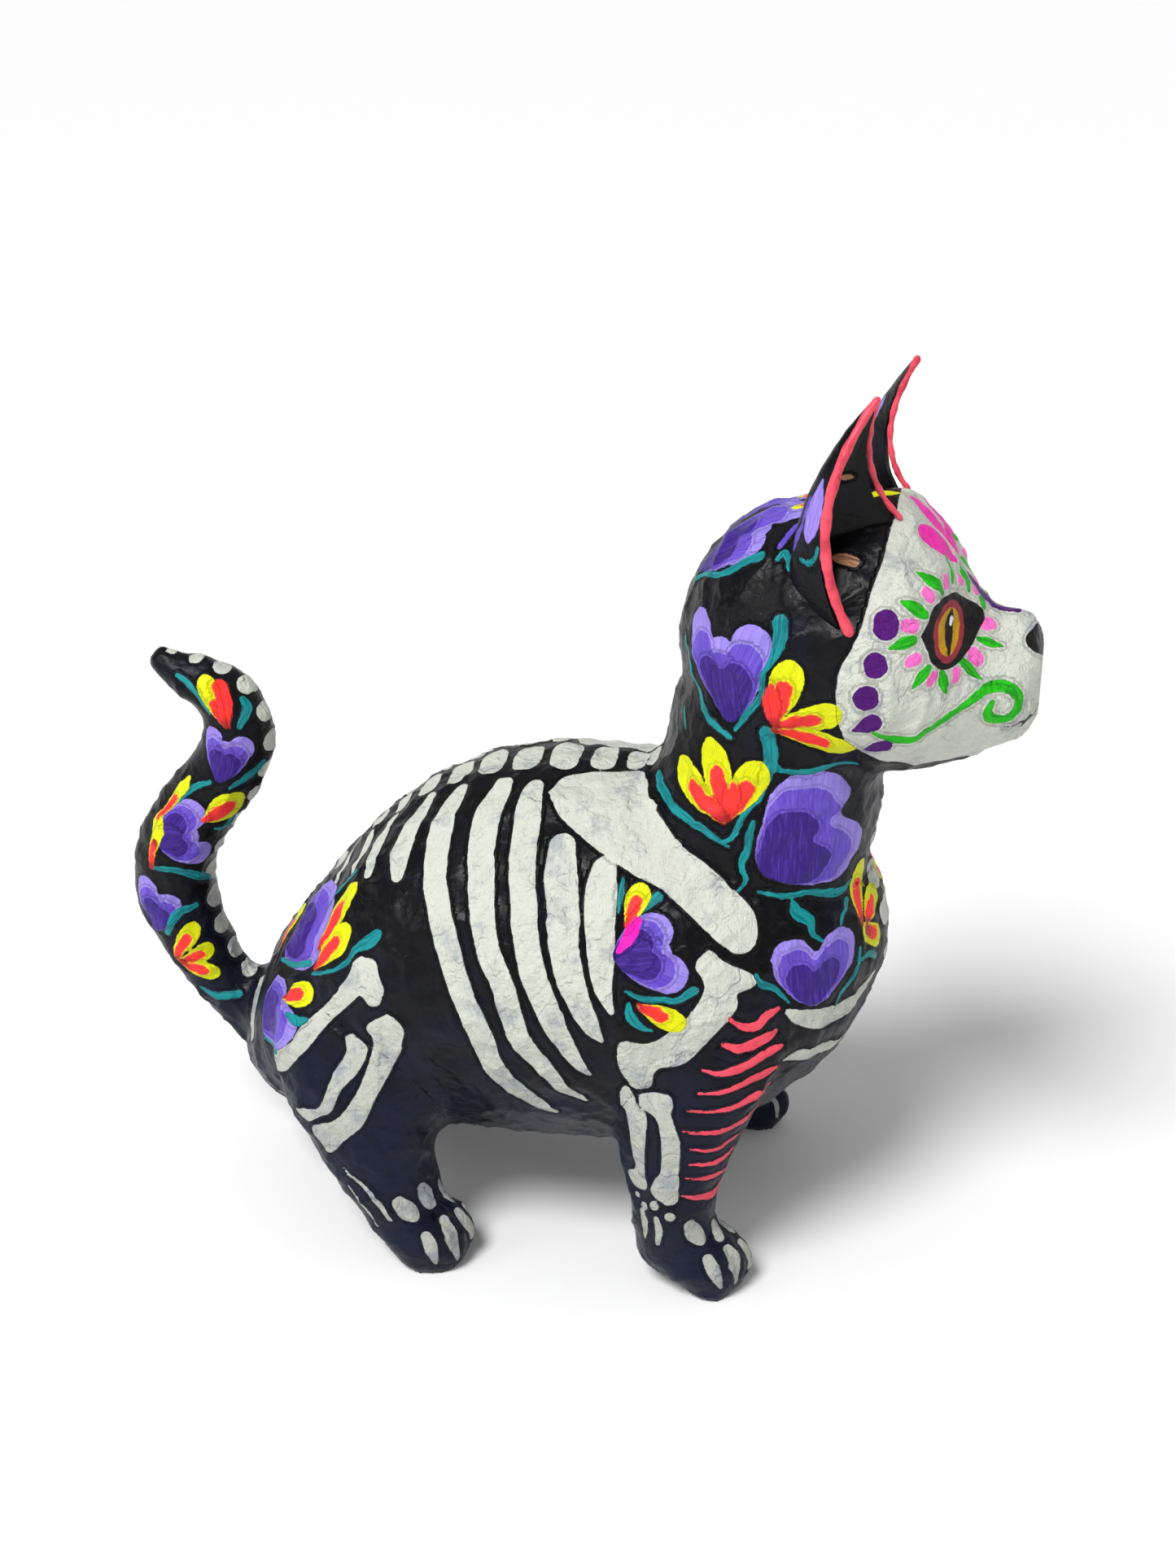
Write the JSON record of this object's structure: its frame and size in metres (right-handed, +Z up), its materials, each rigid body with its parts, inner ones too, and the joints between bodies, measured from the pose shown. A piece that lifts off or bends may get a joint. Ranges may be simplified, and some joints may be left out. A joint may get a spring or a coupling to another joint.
{
  "type": "papier-mache cat figure",
  "caption": "Standing cat in papier-mache with upright corded ears and a raised curling tail, painted black with bone-white skeleton and folk flowers.",
  "frame": {"origin": "on the ground, under the middle of the figure's overall length", "axes": "+X towards the nose, +Y towards the cat's own left, +Z up"},
  "size_m": [0.2958, 0.134, 0.2895],
  "materials": {
    "black_paper": "varnished black paint over paper strips",
    "white_paper": "varnished bone-white paint over paper strips",
    "black_card": "varnished black paint on card",
    "brown_paper": "bare pasted kraft paper",
    "pink_cord": "painted roll of pasted paper",
    "steel_wire": "bare soft wire"
  },
  "bodies": {
    "root": {"body_shell_right": "black_paper", "body_shell_left": "black_paper", "body_seam_band": "brown_paper", "head_back_shell": "black_paper", "face_shell": "white_paper", "head_seam_band": "brown_paper", "neck_shell": "black_paper", "ear_right": "black_card", "ear_left": "black_card", "ear_rim_right": "pink_cord", "ear_rim_left": "pink_cord", "front_leg_right": "black_paper", "front_leg_left": "black_paper", "hind_leg_right": "black_paper", "hind_leg_left": "black_paper", "front_paw_right": "black_paper", "front_paw_left": "black_paper", "hind_paw_right": "black_paper", "hind_paw_left": "black_paper", "tail_shell": "black_paper", "spine_wire": "steel_wire", "front_leg_wire": "steel_wire", "hind_leg_wire": "steel_wire", "front_binding": "brown_paper", "hind_binding": "brown_paper"}
  },
  "joints": []
}
